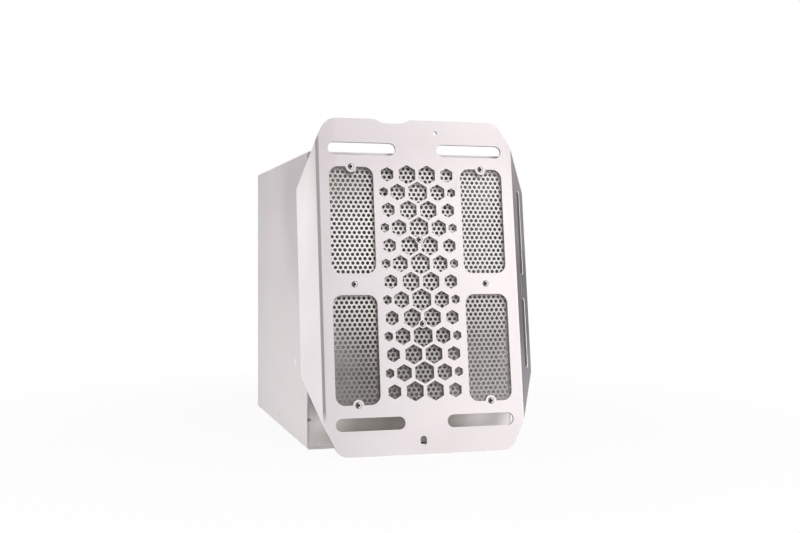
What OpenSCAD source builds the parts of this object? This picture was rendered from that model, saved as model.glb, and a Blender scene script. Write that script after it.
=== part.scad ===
/* [Guard plate] */
// Height of the guard plate, top edge to bottom edge
plate_h = 332; // [300:1:380]
// Width of the flat front, fold line to fold line
front_w = 203; // [190:1:230]
// Thickness of the guard's sheet
plate_t = 2.5; // [1.5:0.1:4]
// Angle by which the guard leans back
lean = 8; // [5:0.5:10]

/* [Wings] */
// Width of each side wing, from its fold line
wing_w = 25.4; // [20:0.1:32]
// Angle by which the wings are folded back
wing_fold = 45; // [35:1:55]
// Inner radius of the folds
fold_r = 2; // [1:0.1:4]
// How far the wing's upper rear corner is below the plate's top edge
wing_drop = 69.5; // [60:0.5:80]
// How far the wing's lower rear corner is above the plate's bottom edge
wing_rise = 77.5; // [68:0.5:85]
// Radius of the wing's rear corners
wing_corner_r = 7; // [2:0.5:10]
// Width of the two long slots in the right wing
wing_slot_w = 5; // [3:0.1:7]
// Distance of the wing slots' inner ends from the middle of the height
wing_slot_inner = 10.5; // [6:0.5:20]

/* [Top and bottom tabs] */
// How far the tabs' ends are drawn in from the fold lines
tab_inset = 9.5; // [6:0.5:16]
// The same for the top tab's left end, which is fuller
tab_inset_left = 5.5; // [4:0.5:12]
// Radius of the tabs' corners
tab_r = 16; // [8:0.5:20]
// Depth of the relief in the top edge
relief_depth = 4; // [2:0.1:8]
// Width of the relief's floor
relief_w = 18; // [10:0.5:30]
// Place of the relief, left of the middle
relief_x = 24; // [10:0.5:40]
// Diameter of the round fixing hole
fixing_d = 4.6; // [3:0.1:6]
// Place of the round fixing hole, right of the middle
fixing_x = 20.5; // [5:0.5:35]
// Width of the oblong fixing hole
oblong_w = 6.4; // [4:0.1:8]
// Length of the oblong fixing hole
oblong_l = 9.2; // [8.5:0.1:14]
// Place of the oblong fixing hole, left of the middle
oblong_x = 3.7; // [0:0.1:15]
// Distance of both fixing holes from the plate's edge
fixing_edge = 13; // [10:0.5:18]

/* [Slots] */
// Height of the level slots
slot_h = 12.5; // [8:0.5:14]
// Distance of the slots' inner ends from the middle line
slot_inner = 21.5; // [16:0.5:30]
// Distance of the slots' outer ends from the fold lines
slot_outer = 11; // [8:0.5:16]
// Distance of the slots' centre lines from the plate's edge
slot_edge = 30.7; // [28:0.1:34]

/* [Windows] */
// Distance of the windows' inner edges from the middle line
window_inner = 45.4; // [43:0.1:50]
// Distance of the windows' outer edges from the fold lines
window_outer = 11.5; // [8:0.5:16]
// Radius of the windows' corners
window_r = 9.5; // [5:0.5:15]
// Height of the bar between the upper and lower windows
middle_bar = 21; // [14:0.5:30]
// Distance of the windows' ends from the level slots' centre lines
window_gap = 18.3; // [16:0.1:22]

/* [Hexagon field] */
// Pitch of the hexagons in a row
hex_pitch = 20.7; // [18:0.1:21]
// Width across flats of the hexagons on the middle line
hex_flat = 19.2; // [16:0.1:19.4]
// Loss of width for each pitch away from the middle line
hex_fade = 4.3; // [2:0.1:5]
// Height of the middle row above the middle
hex_z = 2.4; // [0:0.1:5]
// Width across flats of the small outermost hexagons
hex_small = 8.5; // [6:0.1:9]
// Place of the small hexagons, in pitches
hex_small_place = 1.7; // [1.65:0.01:1.8]

/* [Perforated sheet] */
// How far the perforated sheet reaches past the windows
sheet_rim = 5.5; // [4.5:0.1:6]
// Thickness of the perforated sheet
sheet_t = 1; // [0.8:0.1:2]
// Diameter of the perforations
perf_d = 4.6; // [3:0.1:6]
// Pitch of the perforations
perf_pitch = 7; // [6.5:0.1:12]
// Distance between the plate and the sheet
sheet_gap = 4; // [2:0.1:6]

/* [Fasteners] */
// Diameter of the screws' shanks
screw_d = 3; // [2.5:0.1:4]
// Length of the screws over their heads
screw_l = 16; // [14:0.5:20]
// Diameter of the screws' countersunk heads
head_d = 6; // [5:0.1:7]
// Clearance around the shanks, on the diameter
shank_play = 0.4; // [0.2:0.1:0.8]
// Diameter of the spacers
spacer_d = 7; // [6:0.1:9]
// Diameter of the eyes that hold the screws at the windows
eye_d = 11; // [8:0.1:13]
// Diameter of the pads that hold the two middle screws
pad_d = 8.6; // [7:0.1:10]
// Width across flats of the nuts
nut_flat = 5.5; // [5:0.1:7]
// Thickness of the nuts
nut_t = 2.4; // [2:0.1:4]

/* [Housing] */
// How far the housing's walls stand past the fold lines
housing_over = 7; // [3:0.5:8]
// How much lower the housing is than the plate's height
housing_below = 36; // [30:1:40]
// Depth of the housing
housing_d = 325; // [200:1:400]
// Thickness of the housing's sheet
housing_t = 2; // [1.5:0.1:4]
// Outer radius of the housing's folded edges
housing_r = 3; // [2.5:0.1:6]
// Width of the open seam round the front panel
seam = 0.2; // [0.1:0.05:0.4]
// Radius of the tack welds on the seam
weld_r = 1.6; // [1:0.1:2]

/* [Hidden] */

$fn = 48;
cut = 1;                                   // how far a cutting shape stands past a face
ease = 0.02;                               // how far a corner's circle stands past the lines it rounds
tab_share = 0.6;                           // share of the corner radius that a tab's end takes
relief_slope = 2.6;                        // run of the relief's ends for each unit of depth
slot_place = 0.55;                         // where the wing slots lie, as a share of its width
slot_end = 4;                              // how much shorter the lower wing slot is at each end
sheet_r = 4;                               // corner radius of the perforated sheet
seat = 0.2;                                // air between the screw ends and the housing
half_h = plate_h / 2;
fold_x = front_w / 2;
wing_top = half_h - wing_drop;
wing_low = half_h - wing_rise;
slot_l = fold_x - slot_outer - slot_inner;
slot_x = (fold_x - slot_outer + slot_inner) / 2;
slot_z = half_h - slot_edge;
window_w = fold_x - window_outer - window_inner;
window_x = (fold_x - window_outer + window_inner) / 2;
window_end = slot_z - window_gap;
sheet_w = 2 * (fold_x - window_outer + sheet_rim);
sheet_h = 2 * (window_end + sheet_rim);
housing_w = front_w + 2 * housing_over;
housing_h = plate_h - housing_below;
tab_top = half_h - tab_r * tab_share;      // where a tab's flank meets its half width
wing_edge = fold_x + wing_w;               // the wing's rear edge, drawn flat
// For each flank: the tab's half width and the height of the wing's rear corner
upper_right = [fold_x - tab_inset, wing_top];
upper_left = [fold_x - tab_inset_left, wing_top];
lower = [fold_x - tab_inset, wing_low];
lap = 0.02;                                // how far the stretches of one folded sheet run together
lap_turn = 0.2;                            // the same at the ends of a fold, in degrees
hex_row = hex_pitch * sqrt(3) / 2;
mid_row = floor((window_end - hex_z) / hex_row);   // rows of hexagons on each side of the middle one
web_r = hex_pitch / sqrt(3);               // from a hexagon's centre to where three webs meet
field_screw_row = 3;                       // the row inside which each middle screw sits
housing_front_y = -housing_d / 2;

// Where the screws stand in the plate's own plane, from its middle
window_screws = [for (side = [-1, 1], z = [-window_end, 0, window_end]) [side * window_x, z]];
field_screws = [for (end = [-1, 1]) [0, hex_z + end * (field_screw_row * hex_row - web_r)]];
screw_places = concat(window_screws, field_screws);

guard_z = half_h * cos(lean) + plate_t * sin(lean);
guard_y = housing_front_y - seat - screw_l * cos(lean)
        - (window_end + screw_d / 2) * sin(lean);

// Puts what is drawn in the plate's own frame where the guard leans: y = 0 is its front face
module leaning() translate([0, guard_y, guard_z]) rotate([-lean, 0, 0]) children();

// Turns an outline drawn in x and z into a sheet from y to y + t
module upright(y, t) translate([0, y + t, 0]) rotate([90, 0, 0]) linear_extrude(t) children();

module stadium(l, h) {
    square([l - h, h], center = true);
    for (side = [-1, 1]) translate([side * (l - h) / 2, 0]) circle(d = h);
}

module rounded(w, h, r) {
    square([w - 2 * r, h], center = true);
    square([w, h - 2 * r], center = true);
    for (x = [-1, 1], y = [-1, 1]) translate([x * (w / 2 - r), y * (h / 2 - r)]) circle(r);
}

// A point-up hexagon of a given width across flats
module hexagon(flat) rotate(30) circle(r = flat / sqrt(3), $fn = 6);

// Even rows from the middle hold a hexagon on each half pitch, odd rows one on each whole pitch
module hexagon_field() {
    for (i = [-mid_row:mid_row]) translate([0, hex_z + i * hex_row]) {
        if (i % 2 == 0)
            for (x = [-1.5:1.5]) translate([x * hex_pitch, 0]) hexagon(hex_flat - hex_fade * abs(x));
        else {
            for (x = [-1:1]) translate([x * hex_pitch, 0]) hexagon(hex_flat - hex_fade * abs(x));
            for (side = [-1, 1]) translate([side * hex_small_place * hex_pitch, 0]) hexagon(hex_small);
        }
    }
}

module windows() {
    h = window_end - middle_bar / 2;
    for (x = [-1, 1], z = [-1, 1])
        translate([x * window_x, z * (window_end + middle_bar / 2) / 2]) rounded(window_w, h, window_r);
}

module level_slots() {
    for (x = [-1, 1], z = [-1, 1]) translate([x * slot_x, z * slot_z]) stadium(slot_l, slot_h);
}

module screw_eyes() {
    for (p = window_screws) translate(p) circle(d = eye_d);
    for (p = field_screws) translate(p) circle(d = pad_d);
}

// What is left of the sheet beyond a tab's flank: the line runs on unbroken into the wing
module flank(line) {
    translate([line[0], tab_top]) rotate(-flank_slope(line)) translate([-half_h, 0])
        square([2 * plate_h, plate_h]);
}

// The angle at which a flank falls, and how far it falls for each unit outwards
function flank_slope(line) = atan(flank_fall(line));
function flank_fall(line) = (tab_top - line[1]) / (wing_edge - line[0]);

// Rounds the corner between a tab's flank and its end
module tab_corner(line) {
    slope = flank_slope(line);
    run = (half_h - tab_top) / tan(slope);
    corner = [line[0] - run, half_h];
    back = tab_r * tan(slope / 2);
    centre = corner + [-back, -tab_r];
    difference() {
        translate(centre) polygon([[0, 0], [0, tab_r + cut], [back + cut, tab_r + cut],
                                   [back + cut, tab_r], tab_r * [sin(slope), cos(slope)]]);
        translate(centre) circle(tab_r + ease);
    }
}

module top_relief() {
    slope = relief_depth * relief_slope;
    translate([-relief_x, half_h])
        polygon([[-relief_w / 2 - slope, cut], [-relief_w / 2 - slope, 0], [-relief_w / 2, -relief_depth],
                 [relief_w / 2, -relief_depth], [relief_w / 2 + slope, 0], [relief_w / 2 + slope, cut]]);
}

// The flat front with its openings, drawn between the folds
module front_outline() {
    difference() {
        square([front_w - 2 * bend_back + lap, plate_h], center = true);
        for (end = [[0, 0, upper_right], [1, 0, upper_left], [0, 1, lower], [1, 1, lower]])
            mirror([end[0], 0]) mirror([0, end[1]]) {
                flank(end[2]);
                tab_corner(end[2]);
            }
        top_relief();
        difference() {
            union() {
                hexagon_field();
                windows();
            }
            screw_eyes();
        }
        level_slots();
        for (p = screw_places) translate(p) circle(d = screw_d + shank_play);
        translate([fixing_x, half_h - fixing_edge]) circle(d = fixing_d);
        translate([-oblong_x, fixing_edge - half_h]) rotate(90) stadium(oblong_l, oblong_w);
    }
}

// How far the fold's tangent lines lie from where the outer faces would meet
bend_back = (fold_r + plate_t) * tan(wing_fold / 2);

// One wing, drawn flat to the right of its fold line and with its slots
module wing_outline(upper, slotted) {
    slot_mid = wing_w * slot_place;
    slot_tops = [wing_top, -wing_slot_inner - slot_end];
    slot_feet = [wing_slot_inner, slot_end - wing_low];
    difference() {
        translate([bend_back - lap, -half_h]) square([wing_w - bend_back + lap, plate_h]);
        for (end = [[0, upper], [1, lower]]) mirror([0, end[0]]) {
            translate([-fold_x, 0]) flank(end[1]);
            wing_corner(end[1]);
        }
        if (slotted) for (i = [0, 1]) translate([slot_mid, (slot_tops[i] + slot_feet[i]) / 2]) rotate(90)
            stadium(slot_tops[i] - slot_feet[i], wing_slot_w);
    }
}

// Rounds a wing's rear corner, between its rear edge and the flank
module wing_corner(line) {
    turn = 90 - flank_slope(line);
    back = wing_corner_r * tan(turn / 2);
    centre = [wing_w - wing_corner_r, line[1] - back];
    difference() {
        translate(centre) polygon([[0, 0], [wing_corner_r, 0], [wing_corner_r + cut, 0],
                                   [wing_corner_r + cut, back + cut], wing_corner_r * [cos(turn), sin(turn)]
                                   + cut * [cos(turn), sin(turn)], wing_corner_r * [cos(turn), sin(turn)]]);
        translate(centre) circle(wing_corner_r + ease);
    }
}

// A wing turned back about its fold line
module wing(upper, slotted) {
    translate([fold_x, 0, 0]) rotate([0, 0, wing_fold]) upright(0, plate_t) wing_outline(upper, slotted);
}

// The rolled fold between the front and a wing, cut off along the flanks
module fold(upper) {
    difference() {
        translate([fold_x - bend_back, fold_r + plate_t, -half_h]) rotate(-90 - lap_turn)
            rotate_extrude(angle = wing_fold + 2 * lap_turn)
                translate([fold_r, 0]) square([plate_t, plate_h]);
        translate([fold_x, 0, 0]) rotate(wing_fold / 2) for (end = [[0, upper], [1, lower]])
            mirror([0, 0, end[0]]) upright(-plate_t, 4 * plate_t) fold_end(end[1]);
    }
}

// What is cut from the fold, so that its outer edge runs from the tab's flank into the wing's
module fold_end(line) {
    fall = flank_fall(line);
    z = tab_top - fall * (fold_x - line[0]);
    reach = 3;
    run = reach * bend_back * cos(wing_fold / 2);
    drop = reach * bend_back * fall;
    polygon([[-run, z + drop], [run, z - drop], [run, plate_h], [-run, plate_h]]);
}

module countersinks() {
    for (p = screw_places) translate([p[0], 0, p[1]]) rotate([-90, 0, 0]) {
        translate([0, 0, -cut]) cylinder(d = head_d + 2 * cut, h = cut);
        cylinder(d1 = head_d + shank_play, d2 = screw_d + shank_play, h = (head_d - screw_d) / 2);
    }
}

module guard_plate() {
    color("gainsboro") leaning() {
        difference() {
            upright(0, plate_t) front_outline();
            countersinks();
        }
        wing(upper_right, true);
        fold(upper_right);
        mirror([1, 0, 0]) {
            wing(upper_left, false);
            fold(upper_left);
        }
    }
}

perf_row = perf_pitch * sqrt(3) / 2;
perf_margin = perf_pitch / 2;
sheet_y = plate_t + sheet_gap;

// True where a perforation would break into a screw's seat
function at_screw(x, z) =
    len([for (p = screw_places) if (norm([x, z] - p) < (spacer_d + perf_d) / 2) 1]) > 0;

// Cutters for the perforations, staggered from row to row, with none where a spacer stands
module perforations() {
    rows = floor((sheet_h / 2 - perf_margin) / perf_row);
    cols = floor((sheet_w / 2 - perf_margin) / perf_pitch);
    for (i = [-rows:rows], c = [-cols:cols]) {
        x = (c + abs(i % 2) / 2) * perf_pitch;
        z = i * perf_row;
        if (!at_screw(x, z) && abs(x) < sheet_w / 2 - perf_margin)
            translate([x, z, -cut]) cylinder(d = perf_d, h = sheet_t + 2 * cut);
    }
}

module perforated_sheet() {
    color("silver") leaning() translate([0, sheet_y + sheet_t, 0]) rotate([90, 0, 0]) difference() {
        linear_extrude(sheet_t) difference() {
            rounded(sheet_w, sheet_h, sheet_r);
            for (p = screw_places) translate(p) circle(d = screw_d + shank_play);
        }
        perforations();
    }
}

// Puts a piece at each screw, with its axis along the screw and its foot at depth y
module at_screws(y) {
    for (p = screw_places) translate([p[0], y, p[1]]) rotate([-90, 0, 0]) children();
}

module spacers() {
    color("dimgray") leaning() at_screws(plate_t) difference() {
        cylinder(d = spacer_d, h = sheet_gap);
        translate([0, 0, -cut]) cylinder(d = screw_d + shank_play, h = sheet_gap + 2 * cut);
    }
}

module screws() {
    cone = (head_d - screw_d) / 2;
    socket = screw_d * 2 / 3;
    color("silver") leaning() at_screws(0) difference() {
        union() {
            cylinder(d1 = head_d, d2 = screw_d, h = cone);
            cylinder(d = screw_d, h = screw_l);
        }
        translate([0, 0, -cut]) cylinder(d = socket, h = cut + cone * 0.8, $fn = 6);
    }
}

module nuts() {
    color("silver") leaning() at_screws(sheet_y + sheet_t) difference() {
        cylinder(d = nut_flat * 2 / sqrt(3), h = nut_t, $fn = 6);
        translate([0, 0, -cut]) cylinder(d = screw_d, h = nut_t + 2 * cut);
    }
}

// The four walls of the housing, folded from one sheet and open at the back
module housing_wrap() {
    color("gainsboro") translate([0, housing_d / 2, housing_h / 2]) rotate([90, 0, 0])
        linear_extrude(housing_d) difference() {
            rounded(housing_w, housing_h, housing_r);
            rounded(housing_w - 2 * housing_t, housing_h - 2 * housing_t, housing_r - housing_t);
        }
}

// The front panel, set between the walls and flush with their edges
module housing_front() {
    play = housing_t + seam;
    color("gainsboro") translate([0, housing_front_y + housing_t, housing_h / 2]) rotate([90, 0, 0])
        linear_extrude(housing_t)
            rounded(housing_w - 2 * play, housing_h - 2 * play, housing_r - housing_t);
}

// Small beads that bridge the seam between the walls and the front panel
module tack_welds() {
    rise = housing_h / 10;
    color("gray") for (side = [-1, 1], z = [rise, housing_h / 2, housing_h - rise])
        translate([side * (housing_w / 2 - weld_r), housing_front_y, z]) intersection() {
            sphere(weld_r);
            translate([-weld_r, -weld_r, -weld_r]) cube([2 * weld_r, weld_r, 2 * weld_r]);
        }
}

guard_plate();
perforated_sheet();
spacers();
screws();
nuts();
housing_wrap();
housing_front();
tack_welds();
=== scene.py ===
"""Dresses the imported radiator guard: folded plate, perforated sheet, fasteners and housing."""

import logging
import math
from dataclasses import dataclass, field
from enum import Enum
from typing import Callable, Iterable

import bmesh
import bpy
from mathutils import Matrix, Vector

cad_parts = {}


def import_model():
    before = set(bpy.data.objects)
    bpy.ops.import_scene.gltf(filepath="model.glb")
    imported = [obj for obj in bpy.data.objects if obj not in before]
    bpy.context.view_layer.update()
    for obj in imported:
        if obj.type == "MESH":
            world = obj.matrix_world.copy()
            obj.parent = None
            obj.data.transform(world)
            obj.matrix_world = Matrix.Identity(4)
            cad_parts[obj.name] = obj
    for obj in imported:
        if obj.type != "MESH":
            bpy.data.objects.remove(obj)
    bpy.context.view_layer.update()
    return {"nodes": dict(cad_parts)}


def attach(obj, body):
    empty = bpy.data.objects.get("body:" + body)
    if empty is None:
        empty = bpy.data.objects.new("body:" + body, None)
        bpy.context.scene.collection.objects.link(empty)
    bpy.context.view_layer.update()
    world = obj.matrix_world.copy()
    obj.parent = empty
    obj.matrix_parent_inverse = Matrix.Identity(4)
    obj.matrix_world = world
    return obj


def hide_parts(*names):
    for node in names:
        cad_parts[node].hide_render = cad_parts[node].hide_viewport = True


LOG = logging.getLogger("radiator_guard")
MM = 0.001
BODY = "root"
FAR = 9.0  # half-size in metres of a mark that doesn't fade in that direction
Colour = tuple[float, float, float]


class Slot(Enum):
    """The record's material slots."""

    GUARD = "guard_sheet"
    MESH = "mesh_sheet"
    SPACER = "spacer"
    FASTENER = "fastener"
    HOUSING = "housing_sheet"
    WELD = "weld"


class Trim(Enum):
    """Finishes that only some faces of a piece have, beside the finish of its slot. Most of them carry
    painted shade, and the panel's carries painted light too.
    """

    CUT_EDGE = "cut_edge"
    BEND = "bend"
    WING = "wing"
    SOCKET = "socket"
    HEAD_SHADE = "head_shade"
    PANEL = "panel"


FaceTest = Callable[[bpy.types.MeshPolygon], bool]


def deselect_all() -> None:
    """Goes to object mode, with nothing selected and no active object."""
    if bpy.context.object and bpy.context.object.mode != "OBJECT":
        bpy.ops.object.mode_set(mode="OBJECT")
    bpy.ops.object.select_all(action="DESELECT")
    bpy.context.view_layer.objects.active = None


def activate(obj: bpy.types.Object) -> None:
    """Selects one object alone and makes it active.

    Args:
        obj: the object.
    """
    deselect_all()
    obj.select_set(True)
    bpy.context.view_layer.objects.active = obj


def edit(obj: bpy.types.Object, selecting: str = "SELECT") -> bmesh.types.BMesh:
    """Opens an object in edit mode.

    Args:
        obj: the object.
        selecting: SELECT to start with all selected, DESELECT with nothing.

    Returns:
        The mesh that the edit-mode operators work on.
    """
    activate(obj)
    bpy.ops.object.mode_set(mode="EDIT")
    bpy.ops.mesh.select_all(action=selecting)
    return bmesh.from_edit_mesh(obj.data)


def select_faces(obj: bpy.types.Object, test: Callable[[bmesh.types.BMFace], bool]) -> None:
    """Selects the faces that pass a test, in edit mode.

    Args:
        obj: the object in edit mode.
        test: says whether a face is wanted.
    """
    bpy.ops.mesh.select_all(action="DESELECT")
    mesh = bmesh.from_edit_mesh(obj.data)
    for face in mesh.faces:
        if test(face):
            face.select_set(True)
    bmesh.update_edit_mesh(obj.data)


def leave_edit() -> None:
    """Goes back to object mode."""
    bpy.ops.object.mode_set(mode="OBJECT")


def apply_modifiers(obj: bpy.types.Object) -> None:
    """Applies every modifier of an object in order.

    Args:
        obj: the object.
    """
    activate(obj)
    for name in [m.name for m in obj.modifiers]:
        bpy.ops.object.modifier_apply(modifier=name)


def place(obj: bpy.types.Object, matrix: Matrix) -> None:
    """Puts an object at a place and bakes the place into its mesh.

    Args:
        obj: the object.
        matrix: where it goes.
    """
    activate(obj)
    obj.matrix_world = matrix
    bpy.ops.object.transform_apply(location=True, rotation=True, scale=True)


def join(pieces: list[bpy.types.Object], name: str) -> bpy.types.Object:
    """Joins several meshes into one piece.

    Args:
        pieces: the meshes, each with its own data.
        name: the joined piece's name.

    Returns:
        The joined piece.
    """
    activate(pieces[0])
    for piece in pieces:
        piece.select_set(True)
    bpy.ops.object.join()
    joined = bpy.context.view_layer.objects.active
    joined.name = name
    joined.data.name = name
    return joined


def copies(model: bpy.types.Object, places: Iterable[Matrix], name: str) -> bpy.types.Object:
    """Copies a modelled piece to several places and joins the copies.

    Args:
        model: the piece, drawn at the origin. It is used up.
        places: where the copies go.
        name: the joined piece's name.

    Returns:
        The joined piece.
    """
    made = []
    for matrix in places:
        copy = model.copy()
        copy.data = model.data.copy()
        bpy.context.scene.collection.objects.link(copy)
        copy.data.transform(matrix)
        made.append(copy)
    bpy.data.objects.remove(model)
    return join(made, name)


def smooth(obj: bpy.types.Object, degrees: float = 32.0) -> None:
    """Shades a piece smooth up to an edge angle in degrees."""
    activate(obj)
    bpy.ops.object.shade_smooth_by_angle(angle=math.radians(degrees))


def copy_of_node(node: bpy.types.Object, name: str) -> bpy.types.Object:
    """A clean copy of a CAD node: its triangles merged and its flat faces made whole.

    Args:
        node: the CAD node's object, which is left as it is.
        name: the copy's name.

    Returns:
        The copy, with no material.
    """
    piece = bpy.data.objects.new(name, node.data.copy())
    piece.data.name = name
    piece.data.materials.clear()
    bpy.context.scene.collection.objects.link(piece)
    edit(piece)
    bpy.ops.mesh.customdata_custom_splitnormals_clear()
    bpy.ops.mesh.remove_doubles(threshold=0.002 * MM)
    bpy.ops.mesh.dissolve_limited(angle_limit=math.radians(0.4))
    leave_edit()
    return piece


def soften(piece: bpy.types.Object, width: float, angle: float = 30.0) -> None:
    """Rounds a piece's sharp edges.

    Args:
        piece: the piece.
        width: how far the rounding reaches from each edge, in metres.
        angle: the least angle between faces that counts as sharp, in degrees.
    """
    bevel = piece.modifiers.new("soft_edges", "BEVEL")
    bevel.width = width
    bevel.segments = 2
    bevel.limit_method = "ANGLE"
    bevel.angle_limit = math.radians(angle)
    bevel.use_clamp_overlap = True
    bevel.harden_normals = False
    apply_modifiers(piece)


class NodeSheet:
    """A small builder for one material's or group's nodes."""

    def __init__(self, tree: bpy.types.NodeTree) -> None:
        """Keeps the tree that nodes are added to."""
        self.tree = tree
        self.step = 0

    def add(self, kind: str, **values: object) -> bpy.types.Node:
        """Adds a node and sets its properties and inputs.

        Args:
            kind: the node's type name.
            **values: properties by name, and inputs by socket name with _ for a space.

        Returns:
            The node.
        """
        node = self.tree.nodes.new(kind)
        self.step += 1
        node.location = (220 * (self.step % 8), -260 * (self.step // 8))
        for key, value in values.items():
            if hasattr(node, key):
                setattr(node, key, value)
            else:
                node.inputs[key.replace("_", " ")].default_value = value
        return node

    def link(self, out: bpy.types.NodeSocket, into: bpy.types.NodeSocket) -> None:
        """Joins two sockets."""
        self.tree.links.new(out, into)

    def maths(self, operation: str, a: object, b: object, clamp: bool = False) -> bpy.types.NodeSocket:
        """A Math node on two sockets or numbers.

        Args:
            operation: the Math node's operation.
            a: the first socket or number.
            b: the second socket or number.
            clamp: whether the result is kept between 0 and 1.

        Returns:
            The result's socket.
        """
        node = self.add("ShaderNodeMath", operation=operation, use_clamp=clamp)
        for index, value in enumerate((a, b)):
            if isinstance(value, bpy.types.NodeSocket):
                self.link(value, node.inputs[index])
            else:
                node.inputs[index].default_value = value
        return node.outputs[0]

    def mix(self, factor: object, a: object, b: object) -> bpy.types.NodeSocket:
        """A colour Mix node.

        Args:
            factor: a socket or a number.
            a: the colour at 0, a socket or a value.
            b: the colour at 1, a socket or a value.

        Returns:
            The mixed colour's socket.
        """
        node = self.add("ShaderNodeMix", data_type="RGBA")
        for socket, value in ((node.inputs[0], factor), (node.inputs[6], a), (node.inputs[7], b)):
            if isinstance(value, bpy.types.NodeSocket):
                self.link(value, socket)
            else:
                socket.default_value = value
        return node.outputs[2]


def new_group(name: str, inputs: dict[str, tuple[str, object]],
              outputs: dict[str, str]) -> bpy.types.NodeTree:
    """Makes a shader node group with named sockets.

    Args:
        name: the group's name.
        inputs: socket name to its type and default value.
        outputs: socket name to its type.

    Returns:
        The group's tree.
    """
    tree = bpy.data.node_groups.new(name, "ShaderNodeTree")
    for socket, (kind, value) in inputs.items():
        made = tree.interface.new_socket(name=socket, in_out="INPUT", socket_type=f"NodeSocket{kind}")
        made.default_value = value
    for socket, kind in outputs.items():
        tree.interface.new_socket(name=socket, in_out="OUTPUT", socket_type=f"NodeSocket{kind}")
    return tree


def build_grain_group() -> bpy.types.NodeTree:
    """Fine grain of a satin sheet: a little tone, roughness and height from noise at two scales.

    Returns:
        The group, with inputs Color, Tone, Scale, Roughness and outputs Color, Roughness, Height.
    """
    tree = new_group(
        "satin_grain",
        {"Color": ("Color", (0.8, 0.8, 0.8, 1)), "Tone": ("Float", 0.03), "Scale": ("Float", 900.0),
         "Roughness": ("Float", 0.4)},
        {"Color": "Color", "Roughness": "Float", "Height": "Float"},
    )
    s = NodeSheet(tree)
    given, out = s.add("NodeGroupInput"), s.add("NodeGroupOutput")
    where = s.add("ShaderNodeTexCoord")
    fine = s.add("ShaderNodeTexNoise", Detail=3.0, Roughness=0.6)
    s.link(where.outputs["Object"], fine.inputs["Vector"])
    s.link(given.outputs["Scale"], fine.inputs["Scale"])
    broad = s.add("ShaderNodeTexNoise", Scale=14.0, Detail=2.0, Roughness=0.5)
    s.link(where.outputs["Object"], broad.inputs["Vector"])
    both = s.maths("ADD", fine.outputs["Fac"], broad.outputs["Fac"])
    swing = s.maths("MULTIPLY", s.maths("SUBTRACT", both, 1.0), given.outputs["Tone"])
    darker = s.mix(s.maths("ADD", 0.5, s.maths("MULTIPLY", swing, 6.0), clamp=True),
                   (0.88, 0.87, 0.865, 1), (1.0, 1.0, 1.0, 1))
    tinted = s.add("ShaderNodeMix", data_type="RGBA", blend_type="MULTIPLY")
    tinted.inputs[0].default_value = 1.0
    s.link(given.outputs["Color"], tinted.inputs[6])
    s.link(darker, tinted.inputs[7])
    s.link(tinted.outputs[2], out.inputs["Color"])
    rough = s.maths("ADD", given.outputs["Roughness"],
                    s.maths("MULTIPLY", s.maths("SUBTRACT", broad.outputs["Fac"], 0.5), 0.16))
    s.link(rough, out.inputs["Roughness"])
    s.link(fine.outputs["Fac"], out.inputs["Height"])
    return tree


def build_shade_and_spot_group() -> bpy.types.NodeTree:
    """A soft oval mark at a given place on the object, for painted shade, painted light and small spots.

    Returns:
        The group, with inputs Color, Mark Color, Place, Size, Amount, Ragged and outputs Color, Mask.
    """
    tree = new_group(
        "soft_mark",
        {"Color": ("Color", (0.8, 0.8, 0.8, 1)), "Mark Color": ("Color", (0.4, 0.4, 0.4, 1)),
         "Place": ("Vector", (0.0, 0.0, 0.0)), "Size": ("Vector", (0.01, 0.01, 0.01)),
         "Amount": ("Float", 0.5), "Ragged": ("Float", 0.5)},
        {"Color": "Color", "Mask": "Float"},
    )
    s = NodeSheet(tree)
    given, out = s.add("NodeGroupInput"), s.add("NodeGroupOutput")
    where = s.add("ShaderNodeTexCoord")
    offset = s.add("ShaderNodeVectorMath", operation="SUBTRACT")
    s.link(where.outputs["Object"], offset.inputs[0])
    s.link(given.outputs["Place"], offset.inputs[1])
    scaled = s.add("ShaderNodeVectorMath", operation="DIVIDE")
    s.link(offset.outputs[0], scaled.inputs[0])
    s.link(given.outputs["Size"], scaled.inputs[1])
    length = s.add("ShaderNodeVectorMath", operation="LENGTH")
    s.link(scaled.outputs[0], length.inputs[0])
    edge = s.add("ShaderNodeTexNoise", Scale=240.0, Detail=2.0)
    s.link(where.outputs["Object"], edge.inputs["Vector"])
    swing = s.maths("MULTIPLY", s.maths("SUBTRACT", edge.outputs["Fac"], 0.5), given.outputs["Ragged"])
    ragged = s.maths("ADD", length.outputs["Value"], swing)
    fall = s.maths("SUBTRACT", 1.0, ragged, clamp=True)
    full = s.maths("MULTIPLY", fall, 2.2, clamp=True)
    mask = s.maths("MULTIPLY", full, given.outputs["Amount"], clamp=True)
    s.link(s.mix(mask, given.outputs["Color"], given.outputs["Mark Color"]), out.inputs["Color"])
    s.link(mask, out.inputs["Mask"])
    return tree


@dataclass(frozen=True)
class Mark:
    """A soft mark on a finish, in the object's own frame; most marks here are painted shade or painted
    light. With no ragged edge it is an even tint.
    """

    place: tuple[float, float, float]
    size: tuple[float, float, float]
    colour: Colour
    amount: float
    ragged: float = 0.0


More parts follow.
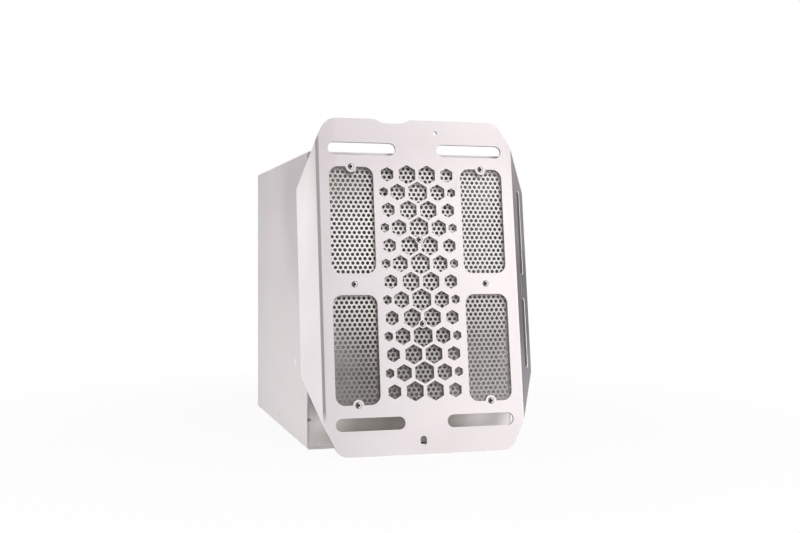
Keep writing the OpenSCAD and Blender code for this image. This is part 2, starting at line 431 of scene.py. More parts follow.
@dataclass(frozen=True)
class Finish:
    """A satin sheet or fastener finish with fine grain and optional marks."""

    name: str
    colour: Colour
    roughness: float = 0.42
    metallic: float = 0.0
    specular: float = 0.5
    tone: float = 0.02
    grain: float = 900.0
    bump: float = 0.02
    marks: tuple[Mark, ...] = ()

    def make(self, groups: dict[str, bpy.types.NodeTree]) -> bpy.types.Material:
        """Builds the material.

        Args:
            groups: the shared node groups by name.

        Returns:
            The material.
        """
        material = bpy.data.materials.new(self.name)
        material.use_nodes = True
        material.node_tree.nodes.clear()
        s = NodeSheet(material.node_tree)
        out, shader = s.add("ShaderNodeOutputMaterial"), s.add("ShaderNodeBsdfPrincipled")
        s.link(shader.outputs[0], out.inputs["Surface"])
        shader.inputs["Metallic"].default_value = self.metallic
        shader.inputs["Specular IOR Level"].default_value = self.specular
        grain = s.add("ShaderNodeGroup")
        grain.node_tree = groups["grain"]
        grain.inputs["Color"].default_value = (*self.colour, 1)
        grain.inputs["Tone"].default_value = self.tone
        grain.inputs["Scale"].default_value = self.grain
        grain.inputs["Roughness"].default_value = self.roughness
        colour = grain.outputs["Color"]
        for mark in self.marks:
            spot = s.add("ShaderNodeGroup")
            spot.node_tree = groups["mark"]
            s.link(colour, spot.inputs["Color"])
            spot.inputs["Mark Color"].default_value = (*mark.colour, 1)
            spot.inputs["Place"].default_value = mark.place
            spot.inputs["Size"].default_value = mark.size
            spot.inputs["Amount"].default_value = mark.amount
            spot.inputs["Ragged"].default_value = mark.ragged
            colour = spot.outputs["Color"]
        s.link(colour, shader.inputs["Base Color"])
        s.link(grain.outputs["Roughness"], shader.inputs["Roughness"])
        bump = s.add("ShaderNodeBump", Distance=self.bump * MM, Strength=1.0)
        s.link(grain.outputs["Height"], bump.inputs["Height"])
        s.link(bump.outputs["Normal"], shader.inputs["Normal"])
        return material


@dataclass(frozen=True)
class Lean:
    """Where the guard stands: its plane leans back about its lower edge."""

    angle_deg: float = 8.0
    front_y: float = -195.0363
    middle_z: float = 164.7324

    def matrix(self) -> Matrix:
        """The plate's frame: y = 0 is its front face, z is measured from its middle."""
        turn = Matrix.Rotation(math.radians(-self.angle_deg), 4, "X")
        return Matrix.Translation(Vector((0, self.front_y, self.middle_z)) * MM) @ turn

    def at(self, x: float, depth: float, z: float) -> Matrix:
        """A frame at a point of the plate, in mm, with its Z axis pointing back through the sheet.

        Args:
            x: to the right of the middle line.
            depth: behind the front face.
            z: above the middle.

        Returns:
            The frame.
        """
        back = Matrix.Rotation(math.radians(-90), 4, "X")
        return self.matrix() @ Matrix.Translation(Vector((x, depth, z)) * MM) @ back


@dataclass
class Guard:
    """The folded front plate, with the perforated sheet and the screws that hold it."""

    lean: Lean = field(default_factory=Lean)
    plate_t: float = 2.5
    fold_x: float = 101.5
    wing_fold: float = 45.0
    wing_slot_x: float = 13.97
    wing_slot_w: float = 5.0
    wing_slot_rim: float = 0.7
    edge_r: float = 0.28
    sheet_w: float = 191.0
    sheet_h: float = 245.0
    sheet_r: float = 4.0
    sheet_t: float = 1.0
    sheet_gap: float = 4.0
    hole_d: float = 3.6
    hole_pitch: float = 5.0
    screw_d: float = 3.0
    screw_l: float = 16.0
    head_d: float = 6.0
    head_drop: float = 0.03
    socket_r: float = 1.38
    socket_deep: float = 1.2
    thread_pitch: float = 0.5
    thread_deep: float = 0.24
    nut_flat: float = 5.5
    nut_t: float = 2.4
    nut_edge_r: float = 0.22
    spacer_d: float = 7.0
    spacer_rim: float = 0.25
    screw_x: float = 67.7
    screw_z: float = 117.0
    field_screws: tuple[float, ...] = (44.23, -39.43)

    def screw_places(self) -> list[tuple[float, float]]:
        """The screws' places in the plate's plane, in mm."""
        outer = [(side * self.screw_x, z) for side in (-1, 1) for z in (-self.screw_z, 0.0, self.screw_z)]
        return outer + [(0.0, z) for z in self.field_screws]

    def sheet_back(self) -> float:
        """How far the back of the perforated sheet is behind the plate's front, in mm."""
        return self.plate_t + self.sheet_gap + self.sheet_t

    def in_plate(self, point: Vector) -> Vector:
        """A point in the plate's own frame, in metres."""
        return self.lean.matrix().inverted() @ point

    def facing(self, face: bpy.types.MeshPolygon) -> Vector:
        """A face's normal in the plate's own frame."""
        return self.lean.matrix().inverted().to_3x3() @ face.normal

    def plate(self, node: bpy.types.Object) -> bpy.types.Object:
        """The folded plate with every cut edge slightly rounded.

        Args:
            node: the CAD node.

        Returns:
            The piece.
        """
        piece = copy_of_node(node, "front_plate")
        edit(piece, "DESELECT")
        mesh = bmesh.from_edit_mesh(piece.data)
        for edge in mesh.edges:
            edge.select_set(all(self.on_wing_slot_rim(vert.co) for vert in edge.verts))
        bmesh.update_edit_mesh(piece.data)
        bpy.ops.mesh.bevel(offset=self.wing_slot_rim * MM, offset_type="OFFSET", segments=2)
        leave_edit()
        soften(piece, self.edge_r * MM)
        smooth(piece, 40)
        return piece

    def on_wing_slot_rim(self, point: Vector) -> bool:
        """Whether a point lies on the outer rim of one of the right wing's slots.

        Args:
            point: the point, in metres.

        Returns:
            True on the rim.
        """
        local = self.in_plate(point)
        across = Vector((local.x - self.fold_x * MM, local.y))
        turn = math.radians(self.wing_fold)
        along = across.x * math.cos(turn) + across.y * math.sin(turn)
        depth = across.y * math.cos(turn) - across.x * math.sin(turn)
        reach = (self.wing_slot_w / 2 + 0.3) * MM
        return abs(depth) < 0.05 * MM and abs(along - self.wing_slot_x * MM) < reach

    def hole_cell(self) -> bpy.types.Object:
        """Two neighbouring cells of the perforation, each a hexagon of sheet round one hole.

        Returns:
            The cells, open at their outer sides, so that copies join into one sheet.
        """
        cell_r = self.hole_pitch / math.sqrt(3) * MM
        bpy.ops.mesh.primitive_circle_add(vertices=12, radius=self.hole_d / 2 * MM, fill_type="NOTHING")
        cell = bpy.context.object
        edit(cell)
        bpy.ops.mesh.extrude_edges_move()
        mesh = bmesh.from_edit_mesh(cell.data)
        for vert in (v for v in mesh.verts if v.select):
            angle = math.atan2(vert.co.y, vert.co.x)
            off = (angle - math.radians(30)) % math.radians(60)
            reach = cell_r * math.cos(math.radians(30)) / math.cos(off - math.radians(30))
            vert.co = (reach * math.cos(angle), reach * math.sin(angle), 0)
        bmesh.update_edit_mesh(cell.data)
        bpy.ops.mesh.select_all(action="SELECT")
        bpy.ops.mesh.normals_make_consistent(inside=False)
        leave_edit()
        row = self.hole_pitch * math.sqrt(3) / 2 * MM
        pair = [Matrix.Identity(4), Matrix.Translation((self.hole_pitch / 2 * MM, row, 0))]
        return copies(cell, pair, "perforated_steel")

    def perforated_sheet(self) -> bpy.types.Object:
        """The whole perforated sheet, cut to size from repeated cells and given its thickness.

        Returns:
            The piece.
        """
        cells = self.hole_cell()
        row = self.hole_pitch * math.sqrt(3) / 2
        columns = math.ceil(self.sheet_w / self.hole_pitch) + 3
        pairs = math.ceil(self.sheet_h / (2 * row)) + 2
        runs = (("along", columns, (self.hole_pitch * MM, 0, 0)), ("up", pairs, (0, 2 * row * MM, 0)))
        for name, count, offset in runs:
            array = cells.modifiers.new(name, "ARRAY")
            array.count = count
            array.use_relative_offset = False
            array.use_constant_offset = True
            array.constant_offset_displace = offset
        apply_modifiers(cells)
        shift = Vector((-(columns // 2) * self.hole_pitch, -(pairs // 2) * 2 * row, 0)) * MM
        cells.data.transform(Matrix.Translation(shift))
        edit(cells)
        bpy.ops.mesh.remove_doubles(threshold=0.01 * MM)
        for point, normal in self.sheet_cuts():
            bpy.ops.mesh.select_all(action="SELECT")
            bpy.ops.mesh.bisect(plane_co=point * MM, plane_no=normal, clear_outer=True, use_fill=False)
        places = [Vector((x, z, 0)) * MM for x, z in self.screw_places()]
        reach = (self.screw_d / 2 + 0.4) * MM
        mesh = edit(cells, "DESELECT")
        bmesh.ops.delete(mesh, context="FACES", geom=[
            face for face in mesh.faces
            if any((vert.co - place).length < reach for vert in face.verts for place in places)
            or any((face.calc_center_median() - place).length < reach for place in places)])
        bmesh.update_edit_mesh(cells.data)
        leave_edit()
        thick = cells.modifiers.new("thickness", "SOLIDIFY")
        thick.thickness = self.sheet_t * MM
        thick.offset = -1.0
        thick.use_even_offset = False
        apply_modifiers(cells)
        depth = self.plate_t + self.sheet_gap
        upright = Matrix.Rotation(math.radians(90), 4, "X")
        cells.data.transform(self.lean.matrix() @ Matrix.Translation((0, depth * MM, 0)) @ upright)
        edit(cells)
        bpy.ops.mesh.normals_make_consistent(inside=False)
        leave_edit()
        return cells

    def sheet_cuts(self) -> list[tuple[Vector, Vector]]:
        """The straight cuts that trim the sheet: its four edges and three across each rounded corner.

        Returns:
            A point, in mm, and an outward direction for each cut.
        """
        half = Vector((self.sheet_w / 2, self.sheet_h / 2, 0))
        cuts = []
        for step in range(16):
            angle = math.radians(22.5 * step)
            out = Vector((math.cos(angle), math.sin(angle), 0))
            centre = Vector([math.copysign(max(half[i] - self.sheet_r, 0), out[i]) for i in range(3)])
            cuts.append((centre + out * self.sheet_r, out))
        return cuts

    def turned(self, profile: list[tuple[float, float]], name: str, steps: int = 24) -> bpy.types.Object:
        """A piece turned about Z from a profile of radius and height, in mm.

        Args:
            profile: the points of the outline, from axis to axis or closed.
            name: the piece's name.
            steps: facets round the axis.

        Returns:
            The piece.
        """
        bpy.ops.mesh.primitive_plane_add(size=MM)
        piece = bpy.context.object
        piece.name = name
        mesh = edit(piece)
        bmesh.ops.delete(mesh, geom=list(mesh.verts), context="VERTS")
        verts = [mesh.verts.new((r * MM, 0, h * MM)) for r, h in profile]
        for a, b in zip(verts, verts[1:]):
            mesh.edges.new((a, b))
        bmesh.update_edit_mesh(piece.data)
        bpy.ops.mesh.select_all(action="SELECT")
        bpy.ops.mesh.spin(steps=steps, angle=math.tau, center=(0, 0, 0), axis=(0, 0, 1))
        bpy.ops.mesh.select_all(action="SELECT")
        bpy.ops.mesh.remove_doubles(threshold=0.004 * MM)
        bpy.ops.mesh.normals_make_consistent(inside=False)
        leave_edit()
        return piece

    def screw_profile(self) -> list[tuple[float, float]]:
        """The outline of one screw, from the socket's floor over the head to the tip.

        Returns:
            Points of radius and depth, in mm.
        """
        head, shank, socket, top = self.head_d / 2, self.screw_d / 2, self.socket_r, self.head_drop
        tip = self.screw_l - 0.05
        profile = [(0.0, self.socket_deep + 0.3), (socket, self.socket_deep), (socket, top + 0.09)]
        profile += [(socket + 0.15, top), (head - 0.45, top), (head - 0.25, top + 0.07)]
        profile += [(head - 0.2, 0.26), (shank, head - shank + 0.1), (shank, self.sheet_back())]
        turn = self.sheet_back()
        while turn < self.screw_l - 2 * self.thread_pitch:
            profile += [(shank - 0.02, turn + 0.1), (shank - self.thread_deep, turn + 0.3)]
            turn += self.thread_pitch
        return profile + [(shank - 0.04, self.screw_l - 0.5), (shank - 0.4, tip), (0.0, tip)]

    def screws(self) -> bpy.types.Object:
        """Eight countersunk screws with hexagon sockets and threaded ends.

        Returns:
            The joined piece.
        """
        screw = self.turned(self.screw_profile(), "screw")
        for vert in screw.data.vertices:
            flat = vert.co.xy
            sunk = vert.co.z < (self.socket_deep + 0.1) * MM
            if sunk and 0.1 * MM < flat.length < (self.socket_r + 0.01) * MM:
                off = math.atan2(flat.y, flat.x) % math.radians(60)
                vert.co.xy = flat * (math.cos(math.radians(30)) / math.cos(off - math.radians(30)))
        return copies(screw, [self.lean.at(x, 0, z) for x, z in self.screw_places()], "socket_screws")

    def in_socket(self, face: bpy.types.MeshPolygon) -> bool:
        """Whether a face of the screws lies inside a socket.

        Args:
            face: the face.

        Returns:
            True inside a socket.
        """
        local = self.in_plate(face.center)
        reach = (self.socket_r + 0.03) * MM
        return 0.04 * MM < local.y < (self.socket_deep + 0.4) * MM and any(
            math.hypot(local.x - x * MM, local.z - z * MM) < reach for x, z in self.screw_places())

    def in_head_shade(self, face: bpy.types.MeshPolygon) -> bool:
        """Whether a face is on the left side of a screw's flat head.

        Args:
            face: the face.

        Returns:
            True on a head's left side.
        """
        local = self.in_plate(face.center)
        if not 0.0 < local.y < 0.2 * MM:
            return False
        for x, z in self.screw_places():
            across, up = local.x - x * MM, local.z - z * MM
            if math.hypot(across, up) < self.head_d / 2 * MM:
                return across < -0.25 * MM
        return False

    def is_cut_edge(self, face: bpy.types.MeshPolygon) -> bool:
        """Whether a face of the plate is a cut edge: a side of an opening or of the outline, or a slanted
        face round a screw head.

        Args:
            face: the face.

        Returns:
            True on a cut edge.
        """
        normal = self.facing(face)
        outwards = math.copysign(1, face.center.x)
        if abs(normal.z) > 0.5 or abs(normal.y) < 0.55 or normal.x * normal.y * outwards > 0.3:
            return True
        centre = self.in_plate(face.center)
        reach = (self.head_d / 2 + 0.3) * MM
        return abs(normal.y) < 0.9 and any(
            math.hypot(centre.x - x * MM, centre.z - z * MM) < reach for x, z in self.screw_places())

    def is_right_wing(self, face: bpy.types.MeshPolygon) -> bool:
        """Whether a face belongs to the outside of the right wing or its fold."""
        normal = self.facing(face)
        return face.center.x > 0 and abs(normal.z) < 0.1 and normal.x > 0.5 and normal.y < -0.5

    def is_left_bend(self, face: bpy.types.MeshPolygon) -> bool:
        """Whether a face belongs to the outside of the left fold.

        Args:
            face: the face.

        Returns:
            True on the fold.
        """
        normal = self.facing(face)
        turned = math.degrees(math.atan2(-normal.x, -normal.y))
        return face.center.x < 0 and abs(normal.z) < 0.1 and 3 < turned < 42

    def nuts(self) -> bpy.types.Object:
        """Eight hexagon nuts with chamfered corners, behind the perforated sheet.

        Returns:
            The joined piece.
        """
        bpy.ops.mesh.primitive_cylinder_add(vertices=6, radius=self.nut_flat / math.sqrt(3) * MM,
                                            depth=self.nut_t * MM, location=(0, 0, self.nut_t / 2 * MM))
        nut = bpy.context.object
        nut.name = "nut"
        place(nut, nut.matrix_world.copy())
        edit(nut)
        select_faces(nut, lambda f: abs(f.normal.z) > 0.9)
        bpy.ops.mesh.inset(thickness=0.35 * MM)
        leave_edit()
        soften(nut, self.nut_edge_r * MM, angle=40)
        bpy.ops.mesh.primitive_cylinder_add(vertices=24, radius=(self.screw_d / 2 + 0.02) * MM, depth=8 * MM)
        hole = bpy.context.object
        cut = nut.modifiers.new("hole", "BOOLEAN")
        cut.object = hole
        cut.operation = "DIFFERENCE"
        cut.solver = "EXACT"
        apply_modifiers(nut)
        bpy.data.objects.remove(hole)
        places = [self.lean.at(x, self.sheet_back(), z) for x, z in self.screw_places()]
        return copies(nut, places, "lock_nuts")

    def spacers(self) -> bpy.types.Object:
        """Eight short spacer tubes with rounded rims.

        Returns:
            The joined piece.
        """
        outer, inner, tall, rim = self.spacer_d / 2, self.screw_d / 2 + 0.2, self.sheet_gap, self.spacer_rim
        profile = [(inner, 0.0), (outer - rim, 0.0), (outer, rim), (outer, tall - rim), (outer - rim, tall)]
        profile += [(inner, tall), (inner, 0.0)]
        spacer = self.turned(profile, "spacer")
        places = [self.lean.at(x, self.plate_t, z) for x, z in self.screw_places()]
        return copies(spacer, places, "spacer_tubes")


@dataclass
class Housing:
    """The sheet box behind the guard: folded walls, a front panel and small welds on its seam."""

    width: float = 217.0
    height: float = 296.0
    depth: float = 325.0
    wall_edge_r: float = 0.12
    panel_edge_r: float = 0.08
    weld_r: float = 1.6

    def sheet(self, node: bpy.types.Object, name: str, edge_r: float) -> bpy.types.Object:
        """A sheet of the box with softened edges.

        Args:
            node: the CAD node.
            name: the piece's name.
            edge_r: how far the softening reaches from each edge, in mm.

        Returns:
            The piece.
        """
        piece = copy_of_node(node, name)
        soften(piece, edge_r * MM, angle=40)
        smooth(piece, 40)
        return piece

    def walls(self, node: bpy.types.Object) -> bpy.types.Object:
        """The folded walls, from their CAD node."""
        return self.sheet(node, "housing_walls", self.wall_edge_r)

    def panel(self, node: bpy.types.Object) -> bpy.types.Object:
        """The front panel, from its CAD node."""
        return self.sheet(node, "front_panel", self.panel_edge_r)

    def welds(self) -> bpy.types.Object:
        """Small uneven weld beads across the seam of the front panel.

        Returns:
            The joined piece.
        """
        bpy.ops.mesh.primitive_ico_sphere_add(subdivisions=3, radius=self.weld_r * MM)
        bead = bpy.context.object
        bead.name = "bead"
        edit(bead)
        bpy.ops.mesh.bisect(plane_co=(0, 0, 0), plane_no=(0, 1, 0), clear_outer=True, use_fill=True)
        leave_edit()
        ripple = bead.modifiers.new("ripple", "DISPLACE")
        noise = bpy.data.textures.new("bead_ripple", "CLOUDS")
        noise.noise_scale = 0.8 * MM
        ripple.texture = noise
        ripple.strength = 0.25 * MM
        ripple.mid_level = 1.0
        apply_modifiers(bead)
        smooth(bead, 50)
        rise = self.height / 10
        spots = [
            Matrix.Translation(Vector((side * (self.width / 2 - self.weld_r), -self.depth / 2, z)) * MM)
            for side in (-1, 1) for z in (rise, self.height / 2, self.height - rise)
        ]
        return copies(bead, spots, "weld_beads")


@dataclass(frozen=True)
class PhotoCamera:
    """The photograph's viewpoint, in the object's frame."""

    place_mm: tuple[float, float, float] = (-318.01, -1235.98, 191.97)
    yaw_deg: float = 15.879
    pitch_deg: float = 0.527
    roll_deg: float = -0.069
    focal_px: float = 1100.0
    frame_px: float = 800.0
    sensor_mm: float = 36.0

    def make(self) -> bpy.types.Object:
        """Adds the camera and makes it the scene's own.

        Returns:
            The camera.
        """
        data = bpy.data.cameras.new("photo_camera")
        data.sensor_fit = "HORIZONTAL"
        data.sensor_width = self.sensor_mm
        data.lens = self.focal_px / self.frame_px * self.sensor_mm
        data.clip_start = 0.01
        camera = bpy.data.objects.new("photo_camera", data)
        bpy.context.scene.collection.objects.link(camera)
        yaw = Matrix.Rotation(math.radians(-self.yaw_deg), 3, "Z")
        pitch = Matrix.Rotation(math.radians(-self.pitch_deg), 3, "X")
        turn = yaw @ pitch @ Matrix.Rotation(math.radians(self.roll_deg), 3, "Y")
        axes = Matrix((turn.col[0], turn.col[2], -turn.col[1])).transposed()
        camera.matrix_world = Matrix.Translation(Vector(self.place_mm) * MM) @ axes.to_4x4()
        bpy.context.scene.camera = camera
        return camera


@dataclass(frozen=True)
class SoftBox:
    """One soft studio lamp, aimed at a point of the object."""

    name: str
    place: tuple[float, float, float]
    aim: tuple[float, float, float]
    size: float
    watts: float

    def make(self) -> bpy.types.Object:
        """Adds the lamp.

        Returns:
            The lamp.
        """
        data = bpy.data.lights.new(self.name, "AREA")
        data.shape = "SQUARE"
        data.size = self.size
        data.energy = self.watts
        lamp = bpy.data.objects.new(self.name, data)
        bpy.context.scene.collection.objects.link(lamp)
        lamp.location = self.place
        aim = Vector(self.aim) - Vector(self.place)
        lamp.rotation_euler = aim.to_track_quat("-Z", "Y").to_euler()
        return lamp


class Studio:
    """A white studio: pale floor, soft lamps and an even pale world."""

    LAMPS = (
        SoftBox("key_above", (0.52, -2.38, 1.98), (0.0, -0.19, 0.17), 1.4, 59.0),
        SoftBox("fill_left", (-1.7, -0.55, 0.18), (-0.1, -0.1, 0.1), 0.8, 20.5),
        SoftBox("fill_right", (1.7, -0.40, 0.1), (0.1, -0.17, 0.05), 0.6, 19.0),
        SoftBox("fill_low", (0.35, -2.0, 0.12), (0.0, -0.19, 0.08), 0.5, 5.0),
    )
    AMBIENT = 0.22
    FLOOR_SIZE = 8.0
    FLOOR_DROP = 0.0002
    FLOOR_TONE = 0.6
    WHITE_AT_MIDDLE = 0.92
    WHITER_PER_METRE = 0.12

    def seen_white(self, s: NodeSheet) -> bpy.types.NodeSocket:
        """A mask: 1 for rays from the camera, gloss or glass, 0 for those that light the object.

        Args:
            s: the tree to build in.

        Returns:
            The mask's socket.
        """
        path = s.add("ShaderNodeLightPath")
        seen = s.maths("ADD", path.outputs["Is Camera Ray"], path.outputs["Is Glossy Ray"])
        return s.maths("ADD", seen, path.outputs["Is Transmission Ray"], clamp=True)

    def world(self) -> None:
        """Sets a world that lights softly and is seen as white."""
        world = bpy.data.worlds.new("studio")
        bpy.context.scene.world = world
        world.use_nodes = True
        world.node_tree.nodes.clear()
        s = NodeSheet(world.node_tree)
        out = s.add("ShaderNodeOutputWorld")
        light = s.add("ShaderNodeBackground", Color=(0.93, 0.95, 1.0, 1), Strength=self.AMBIENT)
        white = s.add("ShaderNodeBackground", Color=(1, 1, 1, 1), Strength=1.0)
        both = s.add("ShaderNodeMixShader")
        s.link(self.seen_white(s), both.inputs[0])
        s.link(light.outputs[0], both.inputs[1])
        s.link(white.outputs[0], both.inputs[2])
        s.link(both.outputs[0], out.inputs["Surface"])

    def floor(self) -> bpy.types.Object:
        """Adds the pale floor, nearly white to the camera and with the object's soft shadow.

        Returns:
            The floor.
        """
        bpy.ops.mesh.primitive_plane_add(size=self.FLOOR_SIZE, location=(0, 0, 0))
        floor = bpy.context.object
        floor.name = "studio_floor"
        floor.data.transform(Matrix.Translation((0, 0, -self.FLOOR_DROP)))
        material = bpy.data.materials.new("studio_floor")
        material.use_nodes = True
        material.node_tree.nodes.clear()
        s = NodeSheet(material.node_tree)
        out = s.add("ShaderNodeOutputMaterial")
        matt = s.add("ShaderNodeBsdfDiffuse", Color=(self.FLOOR_TONE, self.FLOOR_TONE, self.FLOOR_TONE, 1))
        glow = s.add("ShaderNodeEmission", Color=(1, 1, 1, 1), Strength=1.0)
        both = s.add("ShaderNodeMixShader")
        where = s.add("ShaderNodeTexCoord")
        far = s.add("ShaderNodeVectorMath", operation="LENGTH")
        s.link(where.outputs["Object"], far.inputs[0])
        rise = s.maths("MULTIPLY", far.outputs["Value"], self.WHITER_PER_METRE)
        fade = s.maths("ADD", self.WHITE_AT_MIDDLE, rise, clamp=True)
        s.link(s.maths("MULTIPLY", self.seen_white(s), fade), both.inputs[0])
        s.link(matt.outputs[0], both.inputs[1])
        s.link(glow.outputs[0], both.inputs[2])
        s.link(both.outputs[0], out.inputs["Surface"])
        floor.data.materials.append(material)
        return floor

    def make(self) -> None:
        """Adds world, floor and lamps, and sets the plain view transform."""
        bpy.context.scene.view_settings.view_transform = "Standard"
        self.world()
        self.floor()
        for lamp in self.LAMPS:
            lamp.make()


# a dark rose tone for the painted shade on the plate
ROSE_PAINTED_SHADE: Colour = (0.12, 0.07, 0.085)

FINISHES: dict[Enum, Finish] = {
    Slot.GUARD: Finish(
        "satin_plate", (0.86, 0.795, 0.798), roughness=0.36, tone=0.012,
        marks=(
            # painted sheen: the plate darker on the left, fading out towards the right
            Mark((-0.316, -0.2, 0.16), (0.396, FAR, FAR), (0.565, 0.518, 0.529), 1.0),
            # painted shade, growing towards the top of the plate
            Mark((0.0, -0.17, 0.38), (FAR, FAR, 0.14), ROSE_PAINTED_SHADE, 0.2),
            # painted shade in a narrow strip beside the left fold, upper part
            Mark((-0.093, -0.2, 0.27), (0.013, FAR, 0.12), ROSE_PAINTED_SHADE, 0.08),
            # painted shade on the left wing, low down
            Mark((-0.125, -0.19, 0.1), (0.03, FAR, 0.14), ROSE_PAINTED_SHADE, 0.09),
            # painted shade along the bottom edge, right of the middle
            Mark((0.06, -0.21, 0.0), (0.09, FAR, 0.04), ROSE_PAINTED_SHADE, 0.09),
            # painted shade on the upper part of the left wing
            Mark((-0.12, -0.19, 0.28), (0.02, FAR, 0.12), (0.80, 0.77, 0.75), 0.3),
        ),
    ),
    Slot.MESH: Finish(
        "perforated_steel", (0.80, 0.77, 0.74), roughness=0.4, tone=0.03,
        marks=(
            # painted shade: the sheet darker towards the bottom
            Mark((0.0, -0.2, 0.02), (0.35, 0.35, 0.16), (0.26, 0.24, 0.23), 0.7),
            # painted shade: darker still at the lower left
            Mark((-0.09, -0.2, 0.03), (0.12, 0.35, 0.10), (0.12, 0.11, 0.105), 0.8),
            # painted shadow of the plate along the top of the upper left opening
            Mark((-0.09, -0.2, 0.31), (0.12, 0.35, 0.085), (0.42, 0.40, 0.39), 0.85),
        ),
    ),
    Slot.SPACER: Finish("spacer_black", (0.04, 0.04, 0.042), roughness=0.55, tone=0.05),
    Slot.FASTENER: Finish("bright_steel", (0.50, 0.47, 0.475), roughness=0.5, metallic=0.7, tone=0.02),
    Slot.HOUSING: Finish(
        "satin_housing", (0.88, 0.82, 0.825), roughness=0.42, metallic=0.0, tone=0.02,
        marks=(
            # painted shade: the box darker towards the top
            Mark((-0.1085, 0.0, 0.36), (FAR, FAR, 0.34), (0.69, 0.624, 0.634), 1.0),
            # painted shade: darker still near the top
            Mark((-0.1085, 0.0, 0.34), (FAR, FAR, 0.13), (0.45, 0.41, 0.425), 0.35),
            # painted shadow of the left wing on the box's left side
            Mark((-0.1085, -0.12, 0.26), (0.03, 0.12, 0.12), (0.30, 0.26, 0.265), 0.28),
            # painted light along the top of the front rim, which sits in the guard's shade
            Mark((0.0, -0.1625, 0.296), (0.106, 0.006, 0.006), (0.97, 0.95, 0.95), 1.0),
            # painted contact shadow along the bottom of the front rim
            Mark((0.012, -0.1625, 0.0016), (0.03, 0.004, 0.0013), (0.04, 0.035, 0.035), 1.0),
            Mark((-0.1085, -0.0976, 0.0811), (0.01, 0.007, 0.005), (0.97, 0.96, 0.96), 0.6, 0.4),
            Mark((-0.1085, -0.001, 0.0132), (0.01, 0.008, 0.004), (0.6, 0.57, 0.56), 0.3, 0.5),
        ),
    ),
    Slot.WELD: Finish("tinted_weld", (0.22, 0.2, 0.18), roughness=0.45, metallic=0.6, tone=0.05, bump=0.05),
    # cut edges and the faces round the screw heads painted dark grey: the edges' own darker tone with
    # painted shade
    Trim.CUT_EDGE: Finish("cut_edge_tone_and_shade", (0.16, 0.155, 0.15), roughness=0.5, tone=0.05),
    # painted shade: a dark band along the outside of the left fold, painted lighter at its lower end
    Trim.BEND: Finish(
        "bend_painted_shade", (0.27, 0.255, 0.255), roughness=0.4, tone=0.02,
        marks=(Mark((-0.1015, -0.21, 0.018), (0.03, 0.06, 0.026), (0.62, 0.585, 0.595), 1.0),),
    ),
    # painted shade: the outside of the right wing dark grey, darker still across its middle height
    Trim.WING: Finish(
        "wing_painted_shade", (0.24, 0.222, 0.232), roughness=0.5, specular=0.2, tone=0.02,
        marks=(
            Mark((0.115, -0.18, 0.17), (FAR, FAR, 0.13), (0.15, 0.135, 0.145), 1.0),
            Mark((0.115, -0.18, 0.15), (FAR, FAR, 0.06), (0.08, 0.071, 0.078), 0.9),
        ),
    ),
    Trim.SOCKET: Finish("socket_shade", (0.012, 0.012, 0.012), roughness=0.7, tone=0.0),
    Trim.HEAD_SHADE: Finish("head_shade", (0.12, 0.105, 0.105), roughness=0.6, specular=0.2, tone=0.02),
    # The panel's marks are painted shade and painted light; its base colour is its own.
    Trim.PANEL: Finish(
        "panel_painted_shade_and_light", (0.93, 0.88, 0.85), roughness=0.5, tone=0.02,
        marks=(
            # painted shade behind the guard, darkest in the middle
            Mark((0.0, -0.1625, 0.18), (0.17, FAR, 0.16), (0.127, 0.118, 0.113), 1.0),
            # painted shade behind the right part of the guard
            Mark((0.09, -0.1625, 0.16), (0.08, FAR, 0.10), (0.22, 0.205, 0.197), 0.7),
            # painted shade low on the panel, left of the middle
            Mark((-0.012, -0.1625, 0.02), (0.085, FAR, 0.06), (0.40, 0.365, 0.33), 0.85),
            # painted shade in a low band across the panel
            Mark((0.0, -0.1625, 0.058), (0.2, FAR, 0.034), (0.11, 0.102, 0.098), 0.6),
            # painted light at the lower right, where light comes in past the right wing
            Mark((0.095, -0.1625, 0.015), (0.045, FAR, 0.02), (0.99, 0.95, 0.93), 1.0),
            # painted light along the top of the panel
            Mark((0.0, -0.1625, 0.31), (FAR, FAR, 0.022), (0.97, 0.93, 0.92), 1.0),
        ),
    ),
}


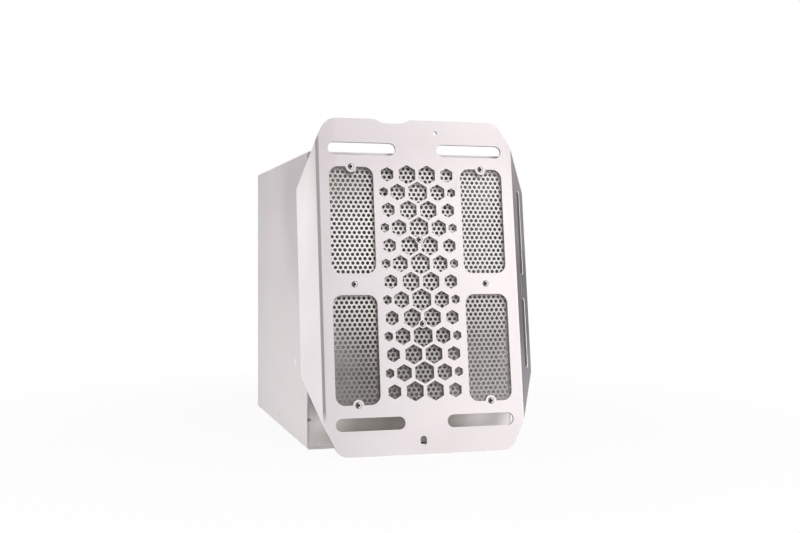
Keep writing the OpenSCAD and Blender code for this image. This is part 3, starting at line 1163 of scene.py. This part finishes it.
def hand_over(piece: bpy.types.Object, node: str, slot: Slot,
              materials: dict[Enum, bpy.types.Material],
              trims: dict[Trim, FaceTest] | None = None) -> None:
    """Gives a piece its finishes and puts it in the place of its CAD node.

    Args:
        piece: the finished piece.
        node: the CAD node that it replaces.
        slot: its material slot, which gives its main finish.
        materials: the finished materials.
        trims: finishes for the faces that pass a test. A later one wins.
    """
    trims = trims or {}
    piece.data.materials.clear()
    for kind in (slot, *trims):
        piece.data.materials.append(materials[kind])
    for polygon in piece.data.polygons:
        passed = (i for i, test in enumerate(trims.values(), 1) if test(polygon))
        polygon.material_index = max(passed, default=0)
    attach(piece, BODY)
    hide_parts(node)
    LOG.info("%s stands for %s: %d faces", piece.name, node, len(piece.data.polygons))


def main() -> None:
    """Builds the object's pieces in order, then the studio and the camera."""
    logging.basicConfig(level=logging.INFO, format="%(name)s: %(message)s")
    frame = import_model()
    nodes = frame["nodes"]
    groups = {"grain": build_grain_group(), "mark": build_shade_and_spot_group()}
    materials = {slot: finish.make(groups) for slot, finish in FINISHES.items()}
    guard, housing = Guard(), Housing()
    plate_trims = {Trim.WING: guard.is_right_wing, Trim.BEND: guard.is_left_bend,
                   Trim.CUT_EDGE: guard.is_cut_edge}
    screw_trims = {Trim.HEAD_SHADE: guard.in_head_shade, Trim.SOCKET: guard.in_socket}
    hand_over(guard.plate(nodes["guard_plate"]), "guard_plate", Slot.GUARD, materials, plate_trims)
    hand_over(guard.perforated_sheet(), "perforated_sheet", Slot.MESH, materials)
    hand_over(guard.screws(), "screws", Slot.FASTENER, materials, screw_trims)
    hand_over(guard.nuts(), "nuts", Slot.FASTENER, materials)
    hand_over(guard.spacers(), "spacers", Slot.SPACER, materials)
    hand_over(housing.walls(nodes["housing_wrap"]), "housing_wrap", Slot.HOUSING, materials)
    hand_over(housing.panel(nodes["housing_front"]), "housing_front", Slot.HOUSING, materials,
              {Trim.PANEL: lambda face: True})
    hand_over(housing.welds(), "tack_welds", Slot.WELD, materials)
    Studio().make()
    PhotoCamera().make()
    deselect_all()


if __name__ == "__main__":
    main()
